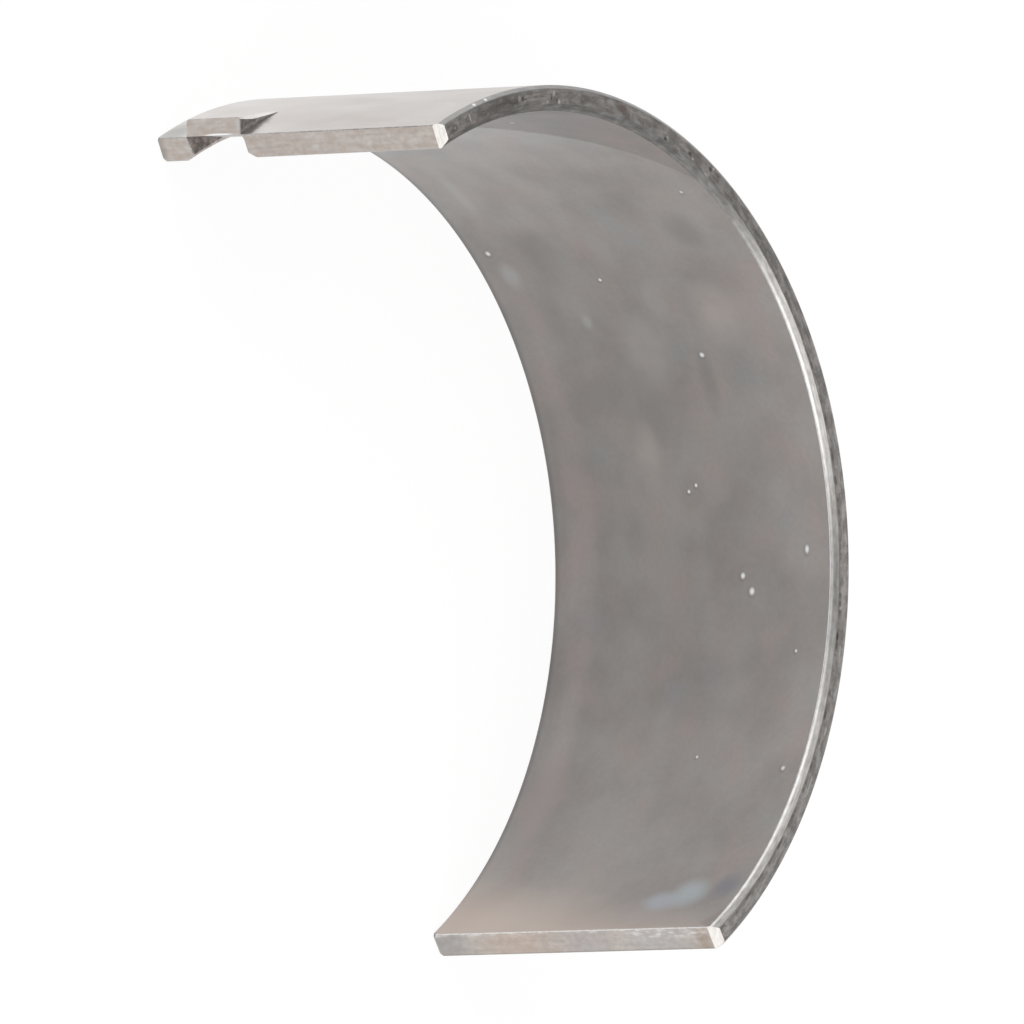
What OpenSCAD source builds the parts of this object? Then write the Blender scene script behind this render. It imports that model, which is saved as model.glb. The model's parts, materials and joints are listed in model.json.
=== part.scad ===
// Half shell of a plain bearing for the big end of a connecting rod, stamped from one strip.
// The bearing axis is Z, through the origin at mid-width. The shell stands on its plain side,
// its crown points to +Y, and the locating lug is at the joint face on the -X side.

/* [Shell] */
// Bore of the housing that the shell is clamped in
housing_d = 70; // [50:0.5:100]
// Wall thickness, with the lining
wall = 2; // [1.6:0.1:3]
// Width along the bearing axis
shell_w = 28; // [20:0.5:45]
// Angle by which the shell, sprung open, falls short of a half circle
spread_angle = 5.8; // [0:0.1:9]

/* [Edges] */
// Chamfer along the bore on the upper side, clear of the crank fillet
bore_chamfer = 0.5; // [0.2:0.05:0.8]
// Chamfer along the back on the upper side
back_chamfer = 0.3; // [0.1:0.05:0.5]
// Broken edges along the bore and the back on the plain side
edge_break = 0.1; // [0.05:0.05:0.3]
// Bevel on the corners where the joint faces meet the upper side
corner_bevel = 0.6; // [0.2:0.05:1.2]

/* [Locating lug] */
// Width along the bearing axis
lug_w = 5.4; // [3:0.1:8]
// Distance from the plain side
lug_offset = 3; // [2:0.1:8]
// Thickness of the tongue at its tip
lug_t = 1.45; // [1:0.05:1.9]
// Distance of the tip behind the joint face
lug_setback = 0.05; // [0.02:0.01:0.3]
// Depth of the tongue's inner face below the back, at the joint face
lug_step = 0.05; // [0:0.05:0.6]
// Radius of the hollow in which the tongue's outer face runs out on the back
lug_sweep_r = 20; // [8:0.5:30]
// Depth of that hollow below the back, so that it ends in a faint crease
lug_crease = 0.02; // [0.01:0.01:0.1]
// Radius of the tongue's drawn-in outer edges
lug_edge_r = 0.3; // [0.1:0.05:0.6]
// Length of the recess from the joint face to where its floor runs out on the bore
recess_len = 5.5; // [4:0.05:8]
// Width of the drawn-in edges where the recess opens into the bore
recess_roll_w = 0.75; // [0.2:0.05:1.5]
// Depth of the drawn-in edges
recess_roll_d = 0.45; // [0.2:0.05:0.9]

/* [Hidden] */
$fn = 180;
// Overrun of a cutter past the faces that it cuts
over = 1;

// The middle of the wall keeps its length when the shell springs open
arc_angle = 180 - spread_angle;
mid_r = (housing_d - wall) / 2 * 180 / arc_angle;
back_r = mid_r + wall / 2;
bore_r = mid_r - wall / 2;
joint_angle = spread_angle / 2;
top_z = shell_w / 2;

// Angle of the tongue to the wall, by the two ends of the recess floor
floor_r = back_r - lug_step;
recess_turn = recess_len / bore_r * 180 / PI;
lug_angle = atan2(floor_r - bore_r * cos(recess_turn), bore_r * sin(recess_turn));
// Lug sizes in its own frame, with X square to the recess floor and Y along it, away from the joint face
tongue_in = floor_r * cos(lug_angle);
tongue_out = tongue_in + lug_t;
tip_y = lug_setback - floor_r * sin(lug_angle);
tip_r = norm([tongue_out, tip_y]);
// The root of the tongue's section lies inside the wall
tongue_depth = (lug_t + wall) / 2;
// Centre of the hollow, by the triangle that it makes with the bearing axis and the tip
sweep_d = back_r - lug_crease + lug_sweep_r;
tip_turn = acos((pow(sweep_d, 2) + pow(tip_r, 2) - pow(lug_sweep_r, 2)) / (2 * sweep_d * tip_r));
sweep_turn = acos((pow(sweep_d, 2) + pow(lug_sweep_r, 2) - pow(tip_r, 2)) / (2 * sweep_d * lug_sweep_r));
sweep_angle = atan2(tip_y, tongue_out) + tip_turn;
lug_z0 = lug_offset - top_z;
lug_z1 = lug_z0 + lug_w;

// Cross-section of the wall, in radius and height
module wall_section() {
    polygon([
        [bore_r, edge_break - top_z],
        [bore_r + edge_break, -top_z],
        [back_r - edge_break, -top_z],
        [back_r, edge_break - top_z],
        [back_r, top_z - back_chamfer],
        [back_r - back_chamfer, top_z],
        [bore_r + bore_chamfer, top_z],
        [bore_r, top_z - bore_chamfer]
    ]);
}

// The plain half ring, without its lug
module half_ring() {
    rotate_extrude(angle = arc_angle, start = joint_angle)
        wall_section();
}

// Wedge that bevels the upper corner of one joint face
module corner_wedge() {
    reach = corner_bevel + over;
    rotate([0, 0, joint_angle])
        translate([bore_r - over, 0, top_z])
            rotate([90, 0, 90])
                linear_extrude(wall + 2 * over)
                    polygon([[-over, -reach], [-over, over], [reach, over]]);
}

// Turns the lug's own frame to the joint face on the -X side
module at_lug() {
    mirror([1, 0, 0])
        rotate([0, 0, joint_angle + lug_angle])
            children();
}

// What rounding takes off a corner at the origin
module corner_waste() {
    translate([-lug_edge_r, 0])
        difference() {
            translate([0, -over])
                square([lug_edge_r + over, lug_edge_r + over]);
            translate([0, lug_edge_r])
                circle(lug_edge_r);
        }
}

// Cross-section of the tongue, inwards from its outer face, with the outer edges rounded
module tongue_section() {
    difference() {
        translate([-tongue_depth, 0])
            square([tongue_depth, lug_w]);
        corner_waste();
        translate([0, lug_w])
            mirror([0, 1])
                corner_waste();
    }
}

// What lies below the recess floor or beyond the tongue's tip
module floor_waste() {
    polygon([
        [tongue_in - 2 * wall, tip_y - 2 * over],
        [tip_r, tip_y - 2 * over],
        [tip_r, tip_y],
        [tongue_in, tip_y],
        [tongue_in, 0],
        [tongue_in - 2 * wall, 0]
    ]);
}

// Tongue swept from the back out to its square tip
module tongue() {
    tip_overrun = over / lug_sweep_r * 180 / PI;
    difference() {
        translate([sweep_d * cos(sweep_angle), sweep_d * sin(sweep_angle), lug_z0])
            rotate_extrude(angle = sweep_turn + tip_overrun, start = sweep_angle + 180)
                translate([lug_sweep_r, 0])
                    mirror([1, 0])
                        tongue_section();
        linear_extrude(shell_w, center = true)
            floor_waste();
    }
}

// Recess that the tongue leaves in the wall, with drawn-in edges at the bore
module recess() {
    roll_slope = recess_roll_w / recess_roll_d;
    mouth = recess_roll_w + over * roll_slope;
    intersection() {
        linear_extrude(shell_w, center = true)
            floor_waste();
        rotate_extrude()
            polygon([
                [bore_r - over, lug_z0 - mouth],
                [bore_r + recess_roll_d, lug_z0],
                [tip_r + over, lug_z0],
                [tip_r + over, lug_z1],
                [bore_r + recess_roll_d, lug_z1],
                [bore_r - over, lug_z1 + mouth]
            ]);
    }
}

// The whole shell: half ring with bevelled corners, and the lug pressed out of its recess
module bearing_shell() {
    color([0.6, 0.58, 0.56]) {
        difference() {
            half_ring();
            corner_wedge();
            mirror([1, 0, 0]) corner_wedge();
            at_lug() recess();
        }
        at_lug() tongue();
    }
}

bearing_shell();
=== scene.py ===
"""Looks of the engine bearing shell, in the frame that the construction part was packed in."""

import json
import math

import bmesh
import bpy
from mathutils import Matrix, Vector


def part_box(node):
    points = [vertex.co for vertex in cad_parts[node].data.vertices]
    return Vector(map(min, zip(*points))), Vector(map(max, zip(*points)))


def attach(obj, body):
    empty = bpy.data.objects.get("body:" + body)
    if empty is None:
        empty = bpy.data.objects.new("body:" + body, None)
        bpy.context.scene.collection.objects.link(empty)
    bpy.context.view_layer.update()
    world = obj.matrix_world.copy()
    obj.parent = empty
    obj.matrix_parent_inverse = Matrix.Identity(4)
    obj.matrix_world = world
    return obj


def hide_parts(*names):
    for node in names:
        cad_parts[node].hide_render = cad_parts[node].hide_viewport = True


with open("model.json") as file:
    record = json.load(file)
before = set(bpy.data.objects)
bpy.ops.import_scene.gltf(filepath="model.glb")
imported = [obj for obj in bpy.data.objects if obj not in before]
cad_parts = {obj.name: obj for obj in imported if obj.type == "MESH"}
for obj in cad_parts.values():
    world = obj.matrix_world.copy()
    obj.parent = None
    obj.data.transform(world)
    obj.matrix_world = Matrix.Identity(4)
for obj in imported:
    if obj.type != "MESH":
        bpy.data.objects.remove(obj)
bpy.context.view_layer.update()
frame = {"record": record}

# The shell's wall: a strip of steel with a thin lining of bearing alloy, bent to a half circle that is
# sprung a little open. The bore is machined with a chamfer on the upper side, and the edges are broken.
mm = 0.001
mounts = {m["name"]: m for m in frame["record"]["mounts"]}
low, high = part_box("bearing_shell")
bore_r = mounts["journal_bore"]["dims"]["r_mm"] * mm
back_r = high[1]
mid_r = (bore_r + back_r) / 2
half_w = high[2]
joint_axis = mounts["plain_joint_face"]["axis"]
joint_turn = math.atan2(joint_axis[0], -joint_axis[1])
arc_turn = math.pi - 2 * joint_turn
bore_chamfer = 0.5 * mm
back_chamfer = 0.3 * mm
edge_break = 0.1 * mm
edge_round = 0.065 * mm
break_turn = edge_round / mid_r

bm = bmesh.new()
bmesh.ops.create_grid(bm, x_segments=1, y_segments=1, size=0.5)
bmesh.ops.scale(bm, vec=(back_r - bore_r, 2 * half_w, 1), verts=bm.verts)
bmesh.ops.translate(bm, vec=(mid_r, 0, 0), verts=bm.verts)
bmesh.ops.rotate(bm, matrix=Matrix.Rotation(math.pi / 2, 3, "X"), verts=bm.verts)
for v in list(bm.verts):
    upper_cut = bore_chamfer if v.co.x < mid_r else back_chamfer
    cut = upper_cut if v.co.z > 0 else edge_break
    bmesh.ops.bevel(bm, geom=[v], offset=cut, affect="VERTICES", segments=1, profile=0.5, material=-1)
bmesh.ops.bevel(
    bm, geom=bm.verts[:], offset=edge_round, affect="VERTICES", segments=3, profile=0.5, material=-1
)

# The locating lug: a tongue that a punch shears from the wall along both sides and bends out past the back.
# It leaves a recess in the bore, whose edges are drawn in, and its own outer edges are rounded.
lug_offset = 3 * mm
lug_w = 5.4 * mm
lug_z0 = lug_offset - half_w
lug_z1 = lug_z0 + lug_w
lug_t = 1.38 * mm
tip_edge = 0.13 * mm
lug_edge_r = 0.3 * mm
shear_w = 0.02 * mm
sweep_r = 20 * mm
sweep_dip = 0.02 * mm
recess_len = 5.5 * mm
roll_w = 0.75 * mm
roll_d = 0.45 * mm
far_lean = 0.3 * mm
near_tear = 0.2 * mm
past_shear = shear_w * 0.75
# Shares: how much of the tongue's rise its rounding takes, how far the tip's corners lie back with it,
# how deep the recess walls tear and how hollow the drawn-in edges are. The hairs are of no account.
most_rounding = 0.45
tip_lean = 0.35
tear_share = 0.78
roll_power = 1.25
hair_turn = 1e-6
hair = 1e-7
floor_r = back_r
recess_turn = recess_len / bore_r
lug_turn = math.atan2(floor_r - bore_r * math.cos(recess_turn), bore_r * math.sin(recess_turn))
tongue_in = floor_r * math.cos(lug_turn)
tongue_out = tongue_in + lug_t
tip_y = -floor_r * math.sin(lug_turn)
tip_r = math.hypot(tongue_out, tip_y)
tip_turn = lug_turn + math.atan2(tip_y, tongue_out)
sweep_d = back_r - sweep_dip + sweep_r
sweep_turn = tip_turn + math.acos((sweep_d**2 + tip_r**2 - sweep_r**2) / (2 * sweep_d * tip_r))

# The section is cut across at the lug's shear lines, roll and rounding, so that both sides can follow them.
rounding = [lug_edge_r * share for share in (0.2, 0.4, 0.67, 1)]
rolling = [roll_w * share for share in (0.2, 0.4, 0.7, 1)]
steps_in = [shear_w / 2, shear_w, *rounding]
lines = [lug_z0 + step for step in [0, *steps_in, *(-step for step in rolling)]]
lines += [lug_z1 - step for step in [0, *steps_in, *(-step for step in rolling)]]
for z in sorted(lines):
    bmesh.ops.bisect_plane(
        bm, geom=bm.verts[:] + bm.edges[:] + bm.faces[:], plane_co=(0, 0, z), plane_no=(0, 0, 1)
    )
inner_edges = [e for e in bm.edges if len(e.link_faces) == 2]
bmesh.ops.delete(bm, geom=bm.faces[:], context="FACES_ONLY")
bmesh.ops.delete(bm, geom=inner_edges, context="EDGES_FACES")

# Bending starts at the broken edge of the lug's joint face, in fine steps as far as the lug reaches.
start_turn = math.pi - joint_turn - break_turn
bmesh.ops.rotate(bm, matrix=Matrix.Rotation(start_turn, 3, "Z"), verts=bm.verts)
bend = bm.verts[:] + bm.edges[:]
turned = 0
for end, steps in (
    (tip_turn, 16),
    (2 * tip_turn, 8),
    (recess_turn, 30),
    (sweep_turn, 12),
    (arc_turn - 2 * break_turn, 164),
):
    bend = bmesh.ops.spin(
        bm, geom=bend, axis=(0, 0, -1), cent=(0, 0, 0), angle=end - turned, steps=steps
    )["geom_last"]
    turned = end


def turn_of(co):
    """The angle of a point from where the lug begins."""
    return start_turn - math.atan2(co.y, co.x)


def round_drop(inset, edge_r):
    """How far an edge of this radius lies below its face, at this distance in from the edge."""
    left = max(edge_r - inset, 0)
    return edge_r - math.sqrt(max(edge_r**2 - left**2, 0))


def tongue_radius(turn, inset):
    """The radius of the tongue's end or outer face, whichever is lower there."""
    if turn < hair_turn:
        return floor_r
    from_axis = turn - sweep_turn
    hollow = math.sqrt(sweep_r**2 - (sweep_d * math.sin(from_axis)) ** 2)
    outer = sweep_d * math.cos(from_axis) - hollow
    drop = round_drop(inset, min(lug_edge_r, max(most_rounding * (outer - back_r), hair)))
    end = tip_y / math.sin(min(turn - tip_lean * drop / back_r - lug_turn, -hair_turn))
    gap = max(tip_edge - abs(outer - drop - end), 0)
    return max(min(outer - drop, end) - gap**2 / (4 * tip_edge), back_r)


def recess_depth(turn, inset):
    """The depth of the recess floor, of the tear in its walls or of the drawn-in edge outside them."""
    depth = max(tongue_in / math.cos(turn - lug_turn) - bore_r, 0)
    if inset > past_shear:
        return depth
    rolled = min(depth, roll_d * min(max(1 + inset / roll_w, 0), 1) ** roll_power)
    return rolled if inset < shear_w / 4 else max(rolled, tear_share * depth)


def recess_shift(turn, inset, depth, on_near_side):
    """How far the recess walls lie off the shear lines: the far one leans, and the near one is torn."""
    full = floor_r - bore_r
    if not on_near_side:
        return far_lean * (1 - depth / full)
    if inset > past_shear:
        return 0
    return near_tear * min(recess_depth(turn, lug_edge_r) / full * 2, 1)


# Points near the lug are moved out to the tongue or the recess. Points that meet there are welded,
# and so is the foot of the tip, where the shear lines end.
touch = 0.002 * mm
for v in bm.verts:
    turn = max(turn_of(v.co), 0)
    inset = min(v.co.z - lug_z0, lug_z1 - v.co.z)
    radius = math.hypot(v.co.x, v.co.y)
    if abs(radius - back_r) < touch and inset > past_shear and turn < sweep_turn - hair_turn:
        v.co.xy *= tongue_radius(turn, inset) / radius
    elif abs(radius - bore_r) < touch and -roll_w - touch < inset and turn < recess_turn - hair_turn:
        depth = recess_depth(turn, inset)
        if inset < lug_edge_r + touch:
            v.co.z += recess_shift(turn, inset, depth, v.co.z > (lug_z0 + lug_z1) / 2)
        v.co.xy *= (bore_r + depth) / radius
bmesh.ops.remove_doubles(bm, verts=bm.verts, dist=touch)
foot_w = 1.5 * shear_w
tip_foot = [v for v in bm.verts if turn_of(v.co) < hair_turn and v.co.xy.length > back_r - touch]
tip_foot = [v for v in tip_foot if -touch < min(v.co.z - lug_z0, lug_z1 - v.co.z) < foot_w]
bmesh.ops.remove_doubles(bm, verts=tip_foot, dist=foot_w)

# The joint faces: the strip's two ends, cut square and closed here. Their upper corners are filed off at
# 45 degrees, and the corners on the plain side are worn round, across the edge and across both of its ends.
corner_bevel = 0.64 * mm
corner_reach = 1.5 * mm
worn_cuts = (
    # radius, lean outwards, size
    (mid_r, 0, 0.18 * mm),
    (bore_r, -1, 0.45 * mm),
    (back_r, 1, 0.42 * mm),
)


def joint_ways(side):
    """The directions across the wall and out of the joint face, on the side of -X or +X."""
    across = Vector((side * math.cos(joint_turn), math.sin(joint_turn), 0))
    return across, Vector((side * math.sin(joint_turn), -math.cos(joint_turn), 0))


def cut_off(faces, through, facing):
    """Cuts off what these faces have past a plane, closes the cut and gives the faces that close it."""
    edges = dict.fromkeys(e for f in faces for e in f.edges)
    verts = dict.fromkeys(v for f in faces for v in f.verts)
    cut = bmesh.ops.bisect_plane(
        bm, geom=[*faces, *edges, *verts], plane_co=through, plane_no=facing, clear_outer=True
    )["geom_cut"]
    cut_edges = [e for e in cut if isinstance(e, bmesh.types.BMEdge)]
    return bmesh.ops.holes_fill(bm, edges=cut_edges, sides=0)["faces"]


bmesh.ops.holes_fill(bm, edges=[e for e in bm.edges if e.is_boundary], sides=0)
facets = []
for side in (-1, 1):
    across, along = joint_ways(side)
    bevel_at = across * mid_r + Vector((0, 0, half_w - corner_bevel))
    facets += cut_off(bm.faces[:], bevel_at, along + Vector((0, 0, 1)))
for side in (-1, 1):
    across, along = joint_ways(side)
    for radius, outward, size in worn_cuts:
        corner_at = across * radius + Vector((0, 0, -half_w))
        near = [f for f in bm.faces if any((v.co - corner_at).length < corner_reach for v in f.verts)]
        cut_off(near, corner_at - along * size, along + Vector((0, 0, -1)) + across * outward)

# The edges of the joint faces are broken a little: each face is inset and drawn out to its plane.
least_area = 2 * mm**2
end_faces = [f for f in bm.faces if abs(f.normal.y) > 0.9 and abs(f.calc_center_median().y) < 2 * mm]
end_faces = [f for f in end_faces if f.calc_area() > least_area]
for face in end_faces:
    bmesh.ops.inset_region(bm, faces=[face], thickness=edge_round, use_even_offset=True)
    side = math.copysign(1, face.calc_center_median().x)
    bmesh.ops.rotate(bm, matrix=Matrix.Rotation(-side * break_turn, 3, "Z"), verts=face.verts)
bmesh.ops.recalc_face_normals(bm, faces=bm.faces)

# Each face gets the finish of the surface that it belongs to.
LINING, BACK, JOINT, SIDE, CUT, CORNER, SHEARED, BREAK, BURNISHED = range(9)
end_faces, facets = set(end_faces), set(facets)
sloping, tilted, level = 0.2, 0.3, 0.97


def finish_of(face):
    """The finish of a face, by where it lies and which way it faces."""
    at = face.calc_center_median()
    out = Vector((at.x, at.y, 0)).normalized()
    radius = math.hypot(at.x, at.y)
    to_back, to_top = face.normal.dot(out), face.normal.z
    along = abs(face.normal.dot(Vector((-out.y, out.x, 0))))
    turn = turn_of(at)
    inset = min(at.z - lug_z0, lug_z1 - at.z)
    in_lug = inset > 0 and turn < sweep_turn
    if face in facets or (along > tilted and to_top > 0.5 and at.z > half_w - 1 * mm):
        return CORNER
    if along > tilted and to_top < -0.12 and radius < back_r:
        return SHEARED
    if to_top > sloping and radius < mid_r and -roll_w < inset and at.z < lug_z1 and turn < recess_turn:
        return SHEARED
    if abs(to_top) > 0.9 and inset > -near_tear - shear_w and turn < sweep_turn:
        return SHEARED
    if to_top > 0.15 and along < 0.35 and radius > back_r and in_lug:
        return BURNISHED
    if radius > floor_r - touch and inset > 0 and turn < tip_turn and along > 0.45:
        return JOINT
    if radius > floor_r + touch and in_lug and abs(to_top) < sloping:
        return BACK
    if face in end_faces:
        return JOINT
    if along > tilted:
        return CUT
    if abs(to_top) > level:
        return SIDE
    if at.z > half_w - bore_chamfer - edge_round and radius < mid_r:
        return CUT
    if abs(to_top) > sloping:
        return BREAK if inset < -roll_w or to_back > 0 else LINING
    return LINING if to_back < 0 else BACK


for face in bm.faces:
    face.material_index = finish_of(face)

shell_mesh = bpy.data.meshes.new("bearing_shell_finished")
bm.to_mesh(shell_mesh)
bm.free()
shell_mesh.shade_smooth()
shell_mesh.set_sharp_from_angle(angle=math.radians(28))
shell = bpy.data.objects.new("bearing_shell_finished", shell_mesh)
bpy.context.collection.objects.link(shell)

# The finishes: bare metal, marked by how each surface was made and handled. All of them are painted by
# place on the shell, so that a mark keeps to its place. Noise that is whole mm long is even along that way.
whole = 1000.0


def arc_at(degrees):
    """The place along the arc, in mm, at this angle."""
    return math.radians(degrees) * mid_r / mm


class Finish:
    """A metal finish, painted by angle round the axis, depth from the bore, and height."""

    def __init__(self, name, roughness):
        self.material = bpy.data.materials.new(name)
        self.material.use_nodes = True
        self.tree = self.material.node_tree
        self.shader = self.tree.nodes["Principled BSDF"]
        self.shader.inputs["Metallic"].default_value = 1
        self.shader.inputs["Roughness"].default_value = roughness
        coords = self.node("TexCoord").outputs["Object"]
        x, y, z = self.node("SeparateXYZ", Vector=coords).outputs
        angle = self.math("ARCTAN2", y, x)
        squared = self.math("ADD", self.math("MULTIPLY", x, x), self.math("MULTIPLY", y, y))
        radius = self.math("SQRT", squared)
        self.degrees = self.math("MULTIPLY", angle, 180 / math.pi)
        self.arc = self.math("MULTIPLY", angle, mid_r / mm)
        self.depth = self.math("MULTIPLY", self.math("SUBTRACT", radius, bore_r), 1 / mm)
        self.height = self.math("MULTIPLY", z, 1 / mm)
        self.place = self.node("CombineXYZ", X=self.arc, Y=self.depth, Z=self.height).outputs[0]

    def node(self, kind, settings=None, **inputs):
        """Adds a node, with its inputs given as values or as sockets of other nodes."""
        made = self.tree.nodes.new("ShaderNode" + kind)
        for name, value in (settings or {}).items():
            setattr(made, name, value)
        for name, value in inputs.items():
            self.feed(made.inputs[name.replace("_", " ")], value)
        return made

    def feed(self, socket, value):
        """Links a socket to another one, or sets its value."""
        if isinstance(value, bpy.types.NodeSocket):
            self.tree.links.new(value, socket)
        else:
            socket.default_value = value

    def math(self, operation, a, b=0.0):
        """The result of a sum on one or two values."""
        made = self.node("Math", {"operation": operation})
        self.feed(made.inputs[0], a)
        self.feed(made.inputs[1], b)
        return made.outputs[0]

    def ramp(self, value, start, end, low=0.0, high=1.0):
        """A smooth rise from low, where value is start, to high, where it is end."""
        made = self.node("MapRange", {"interpolation_type": "SMOOTHSTEP"}, Value=value)
        for name, number in zip(("From Min", "From Max", "To Min", "To Max"), (start, end, low, high)):
            made.inputs[name].default_value = number
        return made.outputs["Result"]

    def noise(self, arc, depth, height, seed, detail=3):
        """Noise whose marks are about this many mm long, deep and high."""
        made = self.node("VectorMath", {"operation": "DIVIDE"})
        self.feed(made.inputs[0], self.place)
        made.inputs[1].default_value = (arc, depth, height)
        return self.node(
            "TexNoise", {"noise_dimensions": "4D"}, Vector=made.outputs[0], W=seed, Scale=1.0, Detail=detail
        ).outputs["Fac"]

    def mix(self, amount, a, b, kind="MIX"):
        """Colour a, blended with colour b by this amount."""
        made = self.node("Mix", {"data_type": "RGBA", "blend_type": kind})
        for socket, value in zip((made.inputs[0], made.inputs[6], made.inputs[7]), (amount, a, b)):
            if isinstance(value, tuple):
                value = (*value, 1)
            self.feed(socket, value)
        return made.outputs[2]

    def shade(self, colour, factor):
        """The colour, made lighter or darker by a factor."""
        grey = self.node("CombineXYZ", X=factor, Y=factor, Z=factor).outputs[0]
        return self.mix(1.0, colour, grey, "MULTIPLY")

    def spot(self, first, first_at, first_r, second, second_at, second_r, soft=0.5):
        """1 inside an oval mark, 0 outside it, with an edge as soft as the share given."""
        a = self.math("DIVIDE", self.math("SUBTRACT", first, first_at), first_r)
        b = self.math("DIVIDE", self.math("SUBTRACT", second, second_at), second_r)
        squared = self.math("ADD", self.math("MULTIPLY", a, a), self.math("MULTIPLY", b, b))
        return self.ramp(self.math("SQRT", squared), 1, 1 - soft)

    def paint(self, colour, roughness=None, bump=None, bump_mm=0.004):
        """Gives the finish its colour, gloss and fine relief, and lays it on the shell."""
        self.feed(self.shader.inputs["Base Color"], colour)
        if roughness is not None:
            self.feed(self.shader.inputs["Roughness"], roughness)
        if bump is not None:
            made = self.node("Bump", Height=bump, Distance=bump_mm * mm)
            self.feed(self.shader.inputs["Normal"], made.outputs[0])
        shell_mesh.materials.append(self.material)


# The lining in the bore: a dull grey bearing alloy under a film of oil, which mirrors at a flat angle.
# It is clouded by handling, brownish towards the plain joint face, and lighter and darker in patches. It
# carries a few specks of dust, each with a painted shadow.
lining = Finish("grey_lining", 0.5)
lining.shader.inputs["Metallic"].default_value = 0.45
lining.shader.inputs["Coat Weight"].default_value = 0.55
lining.shader.inputs["Coat Roughness"].default_value = 0.03
clouds = lining.ramp(lining.noise(8, whole, 7, 1.0, 3), 0.34, 0.66)
colour = lining.mix(clouds, (0.266, 0.246, 0.235), (0.304, 0.283, 0.27))
mottle = lining.ramp(lining.noise(3.2, whole, 2.6, 6.0, 4), 0.3, 0.7, 0.965, 1.035)
colour = lining.shade(colour, mottle)
blue = lining.ramp(lining.noise(6, whole, 5.5, 2.0), 0.48, 0.68, 0, 0.5)
colour = lining.mix(blue, colour, (0.282, 0.281, 0.276))
rosy = lining.ramp(lining.noise(5, whole, 4.5, 3.0), 0.46, 0.66, 0, 0.7)
colour = lining.mix(rosy, colour, (0.318, 0.272, 0.256))
grain = lining.noise(0.5, whole, 0.4, 5.0, 2)
colour = lining.shade(colour, lining.ramp(grain, 0.3, 0.7, 0.975, 1.025))
# Lighter towards the upper side and towards both ends of the arc.
colour = lining.shade(colour, lining.ramp(lining.height, 4, 13.5, 1, 1.19))
colour = lining.shade(colour, lining.ramp(lining.degrees, 55, 25, 1, 1.14))
colour = lining.shade(colour, lining.ramp(lining.degrees, 95, 130, 1, 1.22))
strip = lining.spot(lining.height, -11.2, 2.0, lining.degrees, 62, 48, 0.7)
colour = lining.mix(strip, colour, (1.14, 1.11, 1.12), "MULTIPLY")
cool = lining.ramp(lining.degrees, 126, 150)
colour = lining.mix(cool, colour, (0.955, 0.995, 1.045), "MULTIPLY")
# Painted shade along the lowest edge of the bore, where the shell stands.
colour = lining.shade(colour, lining.ramp(lining.height, -13.3, -13.85, 1, 0.7))
leaning = lining.math("ADD", lining.degrees, lining.math("MULTIPLY", lining.height, 0.4))
brown = lining.ramp(leaning, 15, 1, 0, 0.9)
colour = lining.mix(brown, colour, (0.6, 0.49, 0.425))
# Lighter and darker patches of tone, each at its given place, broken up by noise.
tone_patches = (
    # degrees, height, half length, half height, strength, colour
    (76, -3.6, 3.8, 1.7, 0.9, (0.36, 0.33, 0.3)),
    (86, 4.0, 4.2, 1.1, 0.6, (0.215, 0.2, 0.195)),
    (71, 0.2, 2.5, 2.0, 0.35, (0.22, 0.205, 0.195)),
    (96.2, 7.6, 4.4, 3.6, 0.8, (0.42, 0.368, 0.34)),
    (103.4, -11.2, 1.9, 1.3, 0.8, (0.4, 0.395, 0.39)),
    (95.4, -5.9, 1.0, 0.7, 0.8, (0.37, 0.37, 0.36)),
    (98.4, 1.7, 2.4, 1.6, 0.6, (0.37, 0.35, 0.33)),
    (90.5, -1.2, 4.8, 3.2, 0.8, (0.35, 0.33, 0.31)),
    (96.0, -9.0, 3.2, 1.6, 0.6, (0.235, 0.232, 0.228)),
    (107, -1.0, 3.5, 1.6, 0.5, (0.36, 0.345, 0.33)),
    (107, -7.0, 4.5, 2.4, 0.4, (0.22, 0.207, 0.2)),
    (109.8, 8.2, 3.0, 2.4, 0.7, (0.25, 0.24, 0.22)),
    (124, -9.6, 9.0, 3.4, 0.6, (0.385, 0.367, 0.355)),
    (120.5, -10.5, 5.0, 0.9, 0.7, (0.42, 0.405, 0.395)),
    (27.5, -11.4, 8.0, 2.4, 0.9, (0.375, 0.325, 0.31)),
    (9.3, 6.6, 1.8, 2.8, 0.85, (0.45, 0.485, 0.54)),
    (10.9, 8.7, 2.5, 2.4, 1.0, (0.47, 0.515, 0.535)),
    (12.2, 11.9, 2.2, 1.7, 0.95, (0.27, 0.264, 0.295)),
    (6.0, 6.0, 1.2, 5.0, 0.5, (0.42, 0.38, 0.37)),
    (7.8, 3.5, 0.9, 1.7, 0.6, (0.385, 0.345, 0.37)),
    (14.5, -2.0, 2.5, 5.0, 0.35, (0.38, 0.33, 0.3)),
)
patch_strength = lining.ramp(lining.noise(2.2, whole, 1.8, 9.0, 4), 0.3, 0.55, 0.6, 1)
for turn, height, arc_half, height_half, strength, tint in tone_patches:
    tone_patch = lining.spot(lining.arc, arc_at(turn), arc_half, lining.height, height, height_half, 0.8)
    amount = lining.math("MULTIPLY", tone_patch, lining.math("MULTIPLY", patch_strength, strength))
    colour = lining.mix(amount, colour, tint)
specks = (
    # degrees, height, half length, half height
    (107.4, -12.14, 0.26, 0.24),
    (102.0, -2.7, 0.16, 0.16),
    (117.8, 10.9, 0.18, 0.16),
    (89.7, 4.14, 0.22, 0.22),
    (62.7, 11.19, 0.34, 0.2),
    (59.5, 4.82, 0.26, 0.22),
    (57.4, 5.74, 0.32, 0.26),
    (49.2, 10.56, 0.16, 0.12),
    (32.5, 11.8, 0.22, 0.2),
    (34.6, 2.84, 0.14, 0.12),
    (71.7, 0.67, 0.16, 0.14),
    (70.9, -0.1, 0.16, 0.14),
    (142.1, 4.67, 0.16, 0.3),
)
# Each speck gets a painted shadow: a darker oval, larger than the speck and set a little off to one side.
shadow_size, dot_size = 2.3, 1.4
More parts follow.
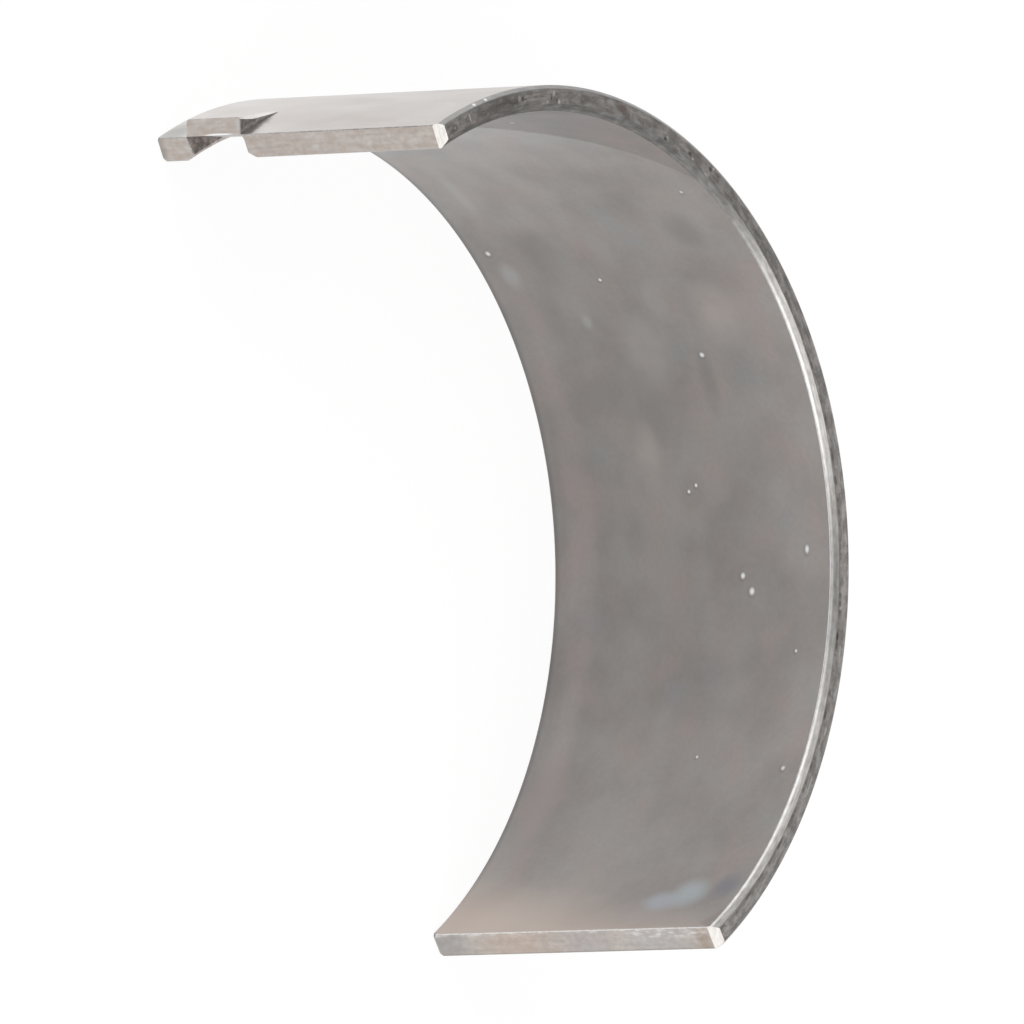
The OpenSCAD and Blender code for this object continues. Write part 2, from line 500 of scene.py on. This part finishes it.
for turn, height, arc_half, height_half in specks:
    shadow_at, shadow_z = arc_at(turn) - 0.08, height - 0.06
    speck_shadow = lining.spot(
        lining.arc, shadow_at, arc_half * shadow_size, lining.height, shadow_z, height_half * shadow_size, 0.8
    )
    colour = lining.mix(lining.math("MULTIPLY", speck_shadow, 0.45), colour, (0.13, 0.125, 0.12))
    dot = lining.spot(
        lining.arc, arc_at(turn), arc_half * dot_size, lining.height, height, height_half * dot_size, 0.8
    )
    colour = lining.mix(dot, colour, (0.88, 0.88, 0.89))
lining.paint(colour, lining.ramp(clouds, 0, 1, 0.54, 0.46), grain, 0.0015)

# The back: bare steel strip, rolled bright and faintly streaked along its width. The tongue has a painted
# highlight where the punch rubbed it smoother, the end beyond it is darker, and painted shade lies beside
# the lug.
back = Finish("steel_back", 0.34)
streaks = back.ramp(back.noise(0.5, whole, 9, 1.0), 0.3, 0.7)
colour = back.mix(streaks, (0.585, 0.55, 0.525), (0.655, 0.62, 0.595))
stains = back.ramp(back.noise(3, whole, 6, 2.0, 4), 0.4, 0.75, 0, 0.5)
colour = back.mix(stains, colour, (0.53, 0.485, 0.45))
clean = back.ramp(back.noise(4, whole, 9, 7.0, 4), 0.42, 0.75, 0, 0.6)
colour = back.mix(clean, colour, (0.72, 0.71, 0.7))
colour = back.shade(colour, back.ramp(back.height, 2, -9, 1, 1.12))
# Darker on the far side of the lug, towards the joint face.
darker_far_end = back.spot(back.height, lug_z0 / mm - 1.8, 2.2, back.degrees, 176, 6, 0.8)
colour = back.mix(back.math("MULTIPLY", darker_far_end, 0.7), colour, (0.4, 0.4, 0.385))
# A painted highlight on the tongue beside its near edge, where the punch also rubbed it smoother.
rubbed_highlight = back.spot(back.height, lug_z1 / mm - 0.7, 1.5, back.degrees, 171, 3.8, 0.95)
colour = back.mix(back.math("MULTIPLY", rubbed_highlight, 0.5), colour, (0.86, 0.85, 0.84))
# Painted shade: a dark band on the back beside the tongue's near flank, widest towards the joint face.
from_lug = back.math("SUBTRACT", back.height, lug_z1 / mm)
fringe = back.ramp(back.noise(0.6, whole, 0.6, 4.0), 0.3, 0.7, -0.2, 0.2)
ragged = back.math("ADD", from_lug, fringe)
past_foot_shade = back.math("SUBTRACT", ragged, back.ramp(back.degrees, 167.5, 174, -0.3, 0.95))
beside_lug = back.ramp(from_lug, -0.02, 0.02)
foot_shade = back.math("MULTIPLY", back.ramp(past_foot_shade, 0.3, -0.3, 0, 0.75), beside_lug)
colour = back.mix(foot_shade, colour, (0.24, 0.23, 0.22))
smoothed = back.ramp(rubbed_highlight, 0, 1, 1, 0.5)
roughness = back.math("MULTIPLY", back.ramp(streaks, 0, 1, 0.3, 0.4), smoothed)
back.paint(colour, roughness, streaks, 0.002)

# The finish of the joint faces and of the tongue's end: steel, sheared and brushed flat, warm grey and
# faintly stained. The plain end is scuffed and chipped along the bore, and tinted in patches.
joint = Finish("joint_face", 0.38)
streaks = joint.ramp(joint.noise(whole, 0.35, 7, 1.0, 4), 0.3, 0.7)
colour = joint.mix(streaks, (0.46, 0.41, 0.375), (0.53, 0.49, 0.46))
stains = joint.ramp(joint.noise(whole, 0.6, 1.1, 2.0, 5), 0.42, 0.64)
colour = joint.mix(joint.math("MULTIPLY", stains, 0.55), colour, (0.45, 0.38, 0.33))
clean = joint.ramp(joint.noise(whole, 0.6, 0.9, 3.0, 5), 0.5, 0.7, 0, 0.4)
colour = joint.mix(clean, colour, (0.62, 0.6, 0.585))
at_plain_end = joint.ramp(joint.degrees, 60, 30)
tints = (
    # height, half height, strength, colour
    (-12.8, 3.4, 0.8, (0.375, 0.36, 0.35)),
    (-6.0, 4.5, 0.5, (0.53, 0.425, 0.36)),
    (1.2, 3.6, 0.6, (0.43, 0.4, 0.4)),
    (8.0, 5.0, 0.6, (0.46, 0.45, 0.45)),
    (12.6, 1.0, 0.8, (0.37, 0.3, 0.25)),
)
for height, height_half, strength, tint in tints:
    tinted = joint.spot(joint.height, height, height_half, joint.depth, 1, 4, 0.9)
    amount = joint.math("MULTIPLY", tinted, joint.math("MULTIPLY", at_plain_end, strength))
    colour = joint.mix(amount, colour, tint)
scuffs = joint.ramp(joint.noise(whole, 0.3, 1.1, 4.0, 4), 0.44, 0.7, 0, 0.6)
scuffed = joint.math("MULTIPLY", joint.ramp(joint.depth, 1.2, 0.5), joint.ramp(joint.height, 3, 7))
chips = joint.ramp(joint.noise(whole, 0.4, 1.1, 5.0, 5), 0.46, 0.64, 0, 0.5)
chipped = joint.ramp(joint.depth, 0.4, 0.08)
scuffs = joint.math("MULTIPLY", scuffs, scuffed)
chips = joint.math("MULTIPLY", chips, chipped)
pale = joint.math("MAXIMUM", scuffs, chips)
colour = joint.mix(joint.math("MULTIPLY", pale, at_plain_end), colour, (0.85, 0.84, 0.84))
back_line = joint.math("MULTIPLY", joint.ramp(joint.depth, 1.8, 1.94, 0, 0.6), at_plain_end)
colour = joint.mix(back_line, colour, (0.22, 0.2, 0.185))
# Painted shade along the lowest edge of the joint face at the lug end.
at_lug_end = joint.ramp(joint.degrees, 120, 150)
far_edge_shade = joint.math("MULTIPLY", joint.ramp(joint.height, -13.1, -13.8, 0, 0.5), at_lug_end)
colour = joint.mix(far_edge_shade, colour, (0.25, 0.235, 0.22))
mottle = joint.ramp(joint.noise(whole, 0.55, 0.7, 6.0, 3), 0.3, 0.7, 0.93, 1.08)
colour = joint.shade(colour, mottle)
# A painted highlight along the near edge of the tongue's end.
rubbed_highlight = joint.spot(joint.height, lug_z1 / mm - 0.1, 0.4, joint.depth, 2.7, 0.65, 0.4)
colour = joint.mix(joint.math("MULTIPLY", rubbed_highlight, 0.7), colour, (0.535, 0.53, 0.52))
# A painted highlight: a thin white line on the burr under the tongue's tip.
burr_highlight = joint.spot(joint.depth, (floor_r - bore_r) / mm + 0.05, 0.09, joint.height, -7.8, 1.7, 0.5)
colour = joint.mix(burr_highlight, colour, (0.95, 0.94, 0.93))
joint.paint(colour, None, streaks, 0.003)

# The side faces: turned across the wall's edge, so that steel and lining lie bare, and pitted by handling.
# A broken dark line runs where the two meet, and single nicks lie where the photo shows them.
side = Finish("side_face", 0.36)
rings = side.ramp(side.noise(2.4, 0.3, whole, 1.0, 4), 0.3, 0.7)
colour = side.mix(rings, (0.36, 0.332, 0.312), (0.53, 0.505, 0.485))
patches = side.ramp(side.noise(1.2, 0.7, whole, 2.0, 4), 0.36, 0.64)
colour = side.shade(colour, side.ramp(patches, 0, 1, 0.8, 1.22))
grit = side.ramp(side.noise(0.3, 0.24, whole, 8.0, 2), 0.3, 0.7, 0.9, 1.1)
colour = side.shade(colour, grit)
colour = side.shade(colour, side.ramp(side.degrees, 105, 75, 0.93, 1.24))
colour = side.shade(colour, side.ramp(side.degrees, 158, 162, 1, 0.7))
colour = side.shade(colour, side.ramp(side.degrees, 167, 171, 1, 1.4))
line = side.spot(side.depth, 0.66, 0.2, side.degrees, 50, 75, 0.5)
broken = side.ramp(side.noise(1.5, whole, whole, 3.0, 5), 0.43, 0.6, 0, 0.8)
colour = side.mix(side.math("MULTIPLY", line, broken), colour, (0.21, 0.2, 0.19))
shine = side.spot(side.depth, 1.15, 0.16, side.degrees, 50, 45, 0.6)
broken = side.ramp(side.noise(2.2, whole, whole, 5.0, 5), 0.48, 0.58)
colour = side.mix(side.math("MULTIPLY", shine, broken), colour, (0.8, 0.78, 0.76))
worn_end = side.math("MAXIMUM", side.ramp(side.degrees, 112, 122), side.ramp(side.degrees, 22, 12))
pitting = side.noise(0.55, 0.3, whole, 4.0, 3)
chips = side.ramp(pitting, 0.6, 0.66)
chipped = side.math("MULTIPLY", chips, side.math("MULTIPLY", worn_end, 0.6))
colour = side.mix(chipped, colour, (0.66, 0.63, 0.6))
pits = side.ramp(pitting, 0.655, 0.7)
colour = side.mix(side.math("MULTIPLY", pits, worn_end), colour, (0.12, 0.11, 0.105))
nicks = (
    # degrees, depth, half length, half depth, colour
    (170.8, 1.09, 0.11, 0.5, (0.85, 0.84, 0.82)),
    (174.2, 1.0, 0.42, 0.34, (0.17, 0.16, 0.15)),
    (174.2, 1.0, 0.26, 0.2, (0.5, 0.48, 0.46)),
    (169.4, 0.55, 0.4, 0.3, (0.38, 0.28, 0.25)),
    (159.6, 1.12, 0.26, 0.3, (0.16, 0.15, 0.145)),
    (153.8, 1.05, 0.1, 0.35, (0.12, 0.11, 0.1)),
    (152.6, 0.75, 0.12, 0.3, (0.12, 0.11, 0.1)),
    (153.2, 1.34, 0.16, 0.3, (0.85, 0.83, 0.81)),
    (152.2, 0.66, 0.24, 0.22, (0.95, 0.93, 0.91)),
    (154.6, 0.7, 0.16, 0.14, (0.8, 0.78, 0.76)),
    (139.0, 1.2, 0.8, 0.42, (0.3, 0.235, 0.215)),
    (141.6, 1.35, 0.7, 0.26, (0.58, 0.56, 0.54)),
    (160.3, 1.2, 0.24, 0.34, (0.6, 0.57, 0.55)),
    (129.6, 0.68, 0.3, 0.2, (0.15, 0.14, 0.13)),
    (129.2, 0.9, 0.2, 0.12, (0.75, 0.73, 0.7)),
    (124.2, 1.0, 0.34, 0.22, (0.14, 0.13, 0.12)),
    (123.4, 0.8, 0.22, 0.14, (0.8, 0.78, 0.75)),
    (119.6, 1.25, 0.3, 0.2, (0.14, 0.13, 0.12)),
    (119.1, 1.5, 0.18, 0.12, (0.9, 0.88, 0.86)),
    (120.1, 0.6, 0.3, 0.14, (0.85, 0.83, 0.8)),
    (51.2, 0.66, 0.5, 0.16, (0.1, 0.09, 0.085)),
    (54.9, 0.75, 0.22, 0.18, (0.85, 0.83, 0.81)),
)
for turn, depth, arc_half, depth_half, tint in nicks:
    nick = side.spot(side.arc, arc_at(turn), arc_half, side.depth, depth, depth_half, 0.6)
    colour = side.mix(side.math("MULTIPLY", nick, 0.85), colour, tint)
side.paint(colour, side.ramp(patches, 0, 1, 0.42, 0.3), patches, 0.006)

# The bore chamfer and the broken edges of the joint faces: cut last, so they are the cleanest metal.
# Along the bore the chamfer lays the lining bare, which is brighter than the steel behind it.
cut = Finish("cut_edge", 0.36)
chatter = cut.ramp(cut.noise(1.6, 0.2, 0.2, 1.0, 4), 0.3, 0.7)
colour = cut.mix(chatter, (0.35, 0.335, 0.32), (0.5, 0.485, 0.47))
stains = cut.ramp(cut.noise(1.3, 0.6, 0.6, 3.0, 4), 0.36, 0.64, 0.68, 1.04)
colour = cut.mix(cut.ramp(cut.degrees, 100, 128), colour, cut.shade(colour, stains))
laid_bare = cut.ramp(cut.degrees, 112, 84, 0.25, 1)
overlay = cut.math("MULTIPLY", cut.ramp(cut.depth, 0.22, 0.08), laid_bare)
colour = cut.mix(overlay, colour, (0.8, 0.79, 0.775))
colour = cut.shade(colour, cut.ramp(cut.degrees, 36, 16, 1, 0.9))
colour = cut.shade(colour, cut.ramp(cut.noise(0.7, 0.3, 0.3, 2.0, 4), 0.3, 0.7, 0.88, 1.12))
cut.paint(colour, None, chatter, 0.004)

# The bevelled corners: steel and lining, filed by hand after the strip was cut to length.
# They are fresh metal, brighter than the faces on both sides, with fine strokes across the wall.
corner = Finish("filed_corner", 0.3)
strokes = corner.ramp(corner.noise(0.2, 0.6, 0.2, 1.0), 0.3, 0.7)
colour = corner.mix(strokes, (0.51, 0.485, 0.46), (0.61, 0.59, 0.57))
corner.paint(colour, None, strokes, 0.004)

# The lug's flanks and the walls of its recess: torn steel, dark and rough, where the punch sheared it.
# The foot of the flanks is rubbed paler, and the walls of the recess carry painted light, lighter than the
# flanks against the shade of the recess.
sheared = Finish("sheared_flank", 0.55)
torn = sheared.ramp(sheared.noise(0.5, 0.5, 0.8, 1.0, 4), 0.35, 0.65)
colour = sheared.mix(torn, (0.23, 0.205, 0.19), (0.43, 0.39, 0.37))
foot = sheared.spot(sheared.depth, 2.22, 0.2, sheared.degrees, 172, 20, 0.5)
ragged = sheared.ramp(sheared.noise(0.35, 0.2, whole, 2.0, 4), 0.4, 0.56, 0.2, 0.8)
colour = sheared.mix(sheared.math("MULTIPLY", foot, ragged), colour, (0.6, 0.585, 0.565))
# Painted light: the recess walls are lifted against the shade that falls in the recess.
recess_painted_light = sheared.math(
    "MULTIPLY", sheared.ramp(sheared.depth, 2.05, 1.95), sheared.ramp(sheared.height, -12.8, -12.2)
)
colour = sheared.mix(recess_painted_light, colour, sheared.shade(colour, 1.9))
sheared.paint(colour, None, torn, 0.02)

# The remaining edges of the wall: steel, broken by tumbling and dull grey.
# Two bright nicks lie on the upper edge of the back, near the lug.
broken_edge = Finish("broken_edge", 0.36)
wear = broken_edge.ramp(broken_edge.noise(1.2, 0.3, 0.3, 1.0, 4), 0.3, 0.7)
colour = broken_edge.mix(wear, (0.33, 0.32, 0.31), (0.43, 0.42, 0.41))
colour = broken_edge.shade(colour, broken_edge.ramp(broken_edge.degrees, 108, 126, 1, 0.84))
colour = broken_edge.shade(colour, broken_edge.ramp(broken_edge.degrees, 148, 165, 1, 1.25))
for turn in (166.8, 169.2):
    nick = broken_edge.spot(broken_edge.arc, arc_at(turn), 0.26, broken_edge.depth, 1.86, 0.15, 0.9)
    nick = broken_edge.math("MULTIPLY", nick, broken_edge.ramp(broken_edge.height, 0, 10))
    colour = broken_edge.mix(nick, colour, (0.95, 0.94, 0.93))
broken_edge.paint(colour, None, wear, 0.003)

# The tongue's rounded edges: steel, burnished where the die rubbed along them as the punch bent it out.
# They are the smoothest metal on the shell.
burnished = Finish("burnished_edge", 0.26)
rub = burnished.ramp(burnished.noise(1.5, 0.5, 0.12, 1.0), 0.3, 0.7)
colour = burnished.mix(rub, (0.74, 0.725, 0.71), (0.84, 0.83, 0.82))
burnished.paint(colour, None, rub, 0.002)

# The shell is one loose piece, on the fixed body, and it is shown in place of its solid.
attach(shell, "root")
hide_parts("bearing_shell")

# The table: a sheet of pale matt paper that the shell stands on, white to the camera and to the metal.
# It keeps the shell's soft shadow.
table_half = 2
paper_white = 0.9
floor_mesh = bpy.data.meshes.new("table")
bm = bmesh.new()
bmesh.ops.create_grid(bm, x_segments=1, y_segments=1, size=table_half)
bmesh.ops.translate(bm, vec=(0, 0, low[2]), verts=bm.verts)
bm.to_mesh(floor_mesh)
bm.free()
table = bpy.data.objects.new("table", floor_mesh)
bpy.context.collection.objects.link(table)
paper = bpy.data.materials.new("white_paper")
paper.use_nodes = True
tree = paper.node_tree
tree.nodes.clear()
out = tree.nodes.new("ShaderNodeOutputMaterial")
path = tree.nodes.new("ShaderNodeLightPath")
seen = tree.nodes.new("ShaderNodeMath")
seen.operation = "MAXIMUM"
tree.links.new(path.outputs["Is Camera Ray"], seen.inputs[0])
tree.links.new(path.outputs["Is Glossy Ray"], seen.inputs[1])
lit = tree.nodes.new("ShaderNodeBsdfDiffuse")
lit.inputs["Color"].default_value = (0.8, 0.8, 0.8, 1)
shade = tree.nodes.new("ShaderNodeBsdfDiffuse")
shade.inputs["Color"].default_value = (0.16, 0.16, 0.16, 1)
glow = tree.nodes.new("ShaderNodeEmission")
glow.inputs["Strength"].default_value = paper_white
both = tree.nodes.new("ShaderNodeAddShader")
tree.links.new(shade.outputs[0], both.inputs[0])
tree.links.new(glow.outputs[0], both.inputs[1])
mix = tree.nodes.new("ShaderNodeMixShader")
tree.links.new(seen.outputs[0], mix.inputs[0])
tree.links.new(lit.outputs[0], mix.inputs[1])
tree.links.new(both.outputs[0], mix.inputs[2])
tree.links.new(mix.outputs[0], out.inputs["Surface"])
floor_mesh.materials.append(paper)

# The cards: two white boards of the same paper, upright behind the shell. They show in its gloss and give
# some light, and the camera sees past them.
card_y = 0.9
card_sizes = (
    # width, height, place across, foot
    (1.6, 0.34, -0.3, 0),
    (0.68, 0.5, -0.76, 0.34),
)
card_mesh = bpy.data.meshes.new("white_cards")
bm = bmesh.new()
for width, height, across, foot in card_sizes:
    card = bmesh.ops.create_grid(bm, x_segments=1, y_segments=1, size=0.5)["verts"]
    bmesh.ops.scale(bm, vec=(width, height, 1), verts=card)
    bmesh.ops.rotate(bm, matrix=Matrix.Rotation(math.pi / 2, 3, "X"), verts=card)
    bmesh.ops.translate(bm, vec=(across, card_y, foot + height / 2 + low[2]), verts=card)
bm.to_mesh(card_mesh)
bm.free()
card_mesh.materials.append(paper)
cards = bpy.data.objects.new("white_cards", card_mesh)
cards.visible_camera = False
bpy.context.collection.objects.link(cards)

# The studio: a room that is grey above and white round the horizon, with two soft boxes that stand
# beside the camera.
horizon_light, upper_light = 0.9, 0.4
box_distance = 0.8
world = bpy.data.worlds.new("studio")
bpy.context.scene.world = world
world.use_nodes = True
tree = world.node_tree
background = tree.nodes["Background"]
path = tree.nodes.new("ShaderNodeLightPath")
coords = tree.nodes.new("ShaderNodeTexCoord")
parts = tree.nodes.new("ShaderNodeSeparateXYZ")
tree.links.new(coords.outputs["Generated"], parts.inputs[0])
rise = tree.nodes.new("ShaderNodeMapRange")
rise.interpolation_type = "SMOOTHSTEP"
rise.inputs["From Min"].default_value = 0.0
rise.inputs["From Max"].default_value = 0.1
rise.inputs["To Min"].default_value = horizon_light
rise.inputs["To Max"].default_value = upper_light
tree.links.new(parts.outputs["Z"], rise.inputs["Value"])
white = tree.nodes.new("ShaderNodeMath")
white.operation = "MAXIMUM"
tree.links.new(path.outputs["Is Camera Ray"], white.inputs[0])
tree.links.new(rise.outputs["Result"], white.inputs[1])
tree.links.new(white.outputs[0], background.inputs["Strength"])
background.inputs["Color"].default_value = (1, 1, 1, 1)

for name, towards, size, power in (
    ("soft_box_right", (0.32, -0.6, 0.73), 0.7, 2.2),
    ("soft_box_left", (-0.744, 0.17, 0.63), 0.8, 2.0),
):
    lamp = bpy.data.lights.new(name, "AREA")
    lamp.shape = "SQUARE"
    lamp.size = size
    lamp.energy = power
    box = bpy.data.objects.new(name, lamp)
    towards = Vector(towards).normalized()
    facing = towards.to_track_quat("Z", "Y").to_matrix().to_4x4()
    box.matrix_world = Matrix.Translation(towards * box_distance) @ facing
    bpy.context.collection.objects.link(box)

# The camera: a long lens, looking down on the table and turned a quarter turn, as the photo was taken.
# Its place was fitted to the edges of the shell in the photo.
camera_distance = 2.39988
aim = Vector((-0.955, 5.115, 5.342)) * mm
azimuth, elevation, roll = (math.radians(d) for d in (-26.128, 37.984, -87.792))
back_way = Vector(
    (
        math.sin(azimuth) * math.cos(elevation),
        -math.cos(azimuth) * math.cos(elevation),
        math.sin(elevation),
    )
)
lens = bpy.data.cameras.new("camera")
lens.lens = 1083.2
lens.sensor_width = 36
lens.clip_end = 10
camera = bpy.data.objects.new("camera", lens)
facing = back_way.to_track_quat("Z", "Y").to_matrix().to_4x4()
camera_at = Matrix.Translation(aim + back_way * camera_distance)
camera.matrix_world = camera_at @ facing @ Matrix.Rotation(-roll, 4, "Z")
bpy.context.collection.objects.link(camera)
scene = bpy.context.scene
scene.camera = camera
scene.view_settings.view_transform = "Standard"
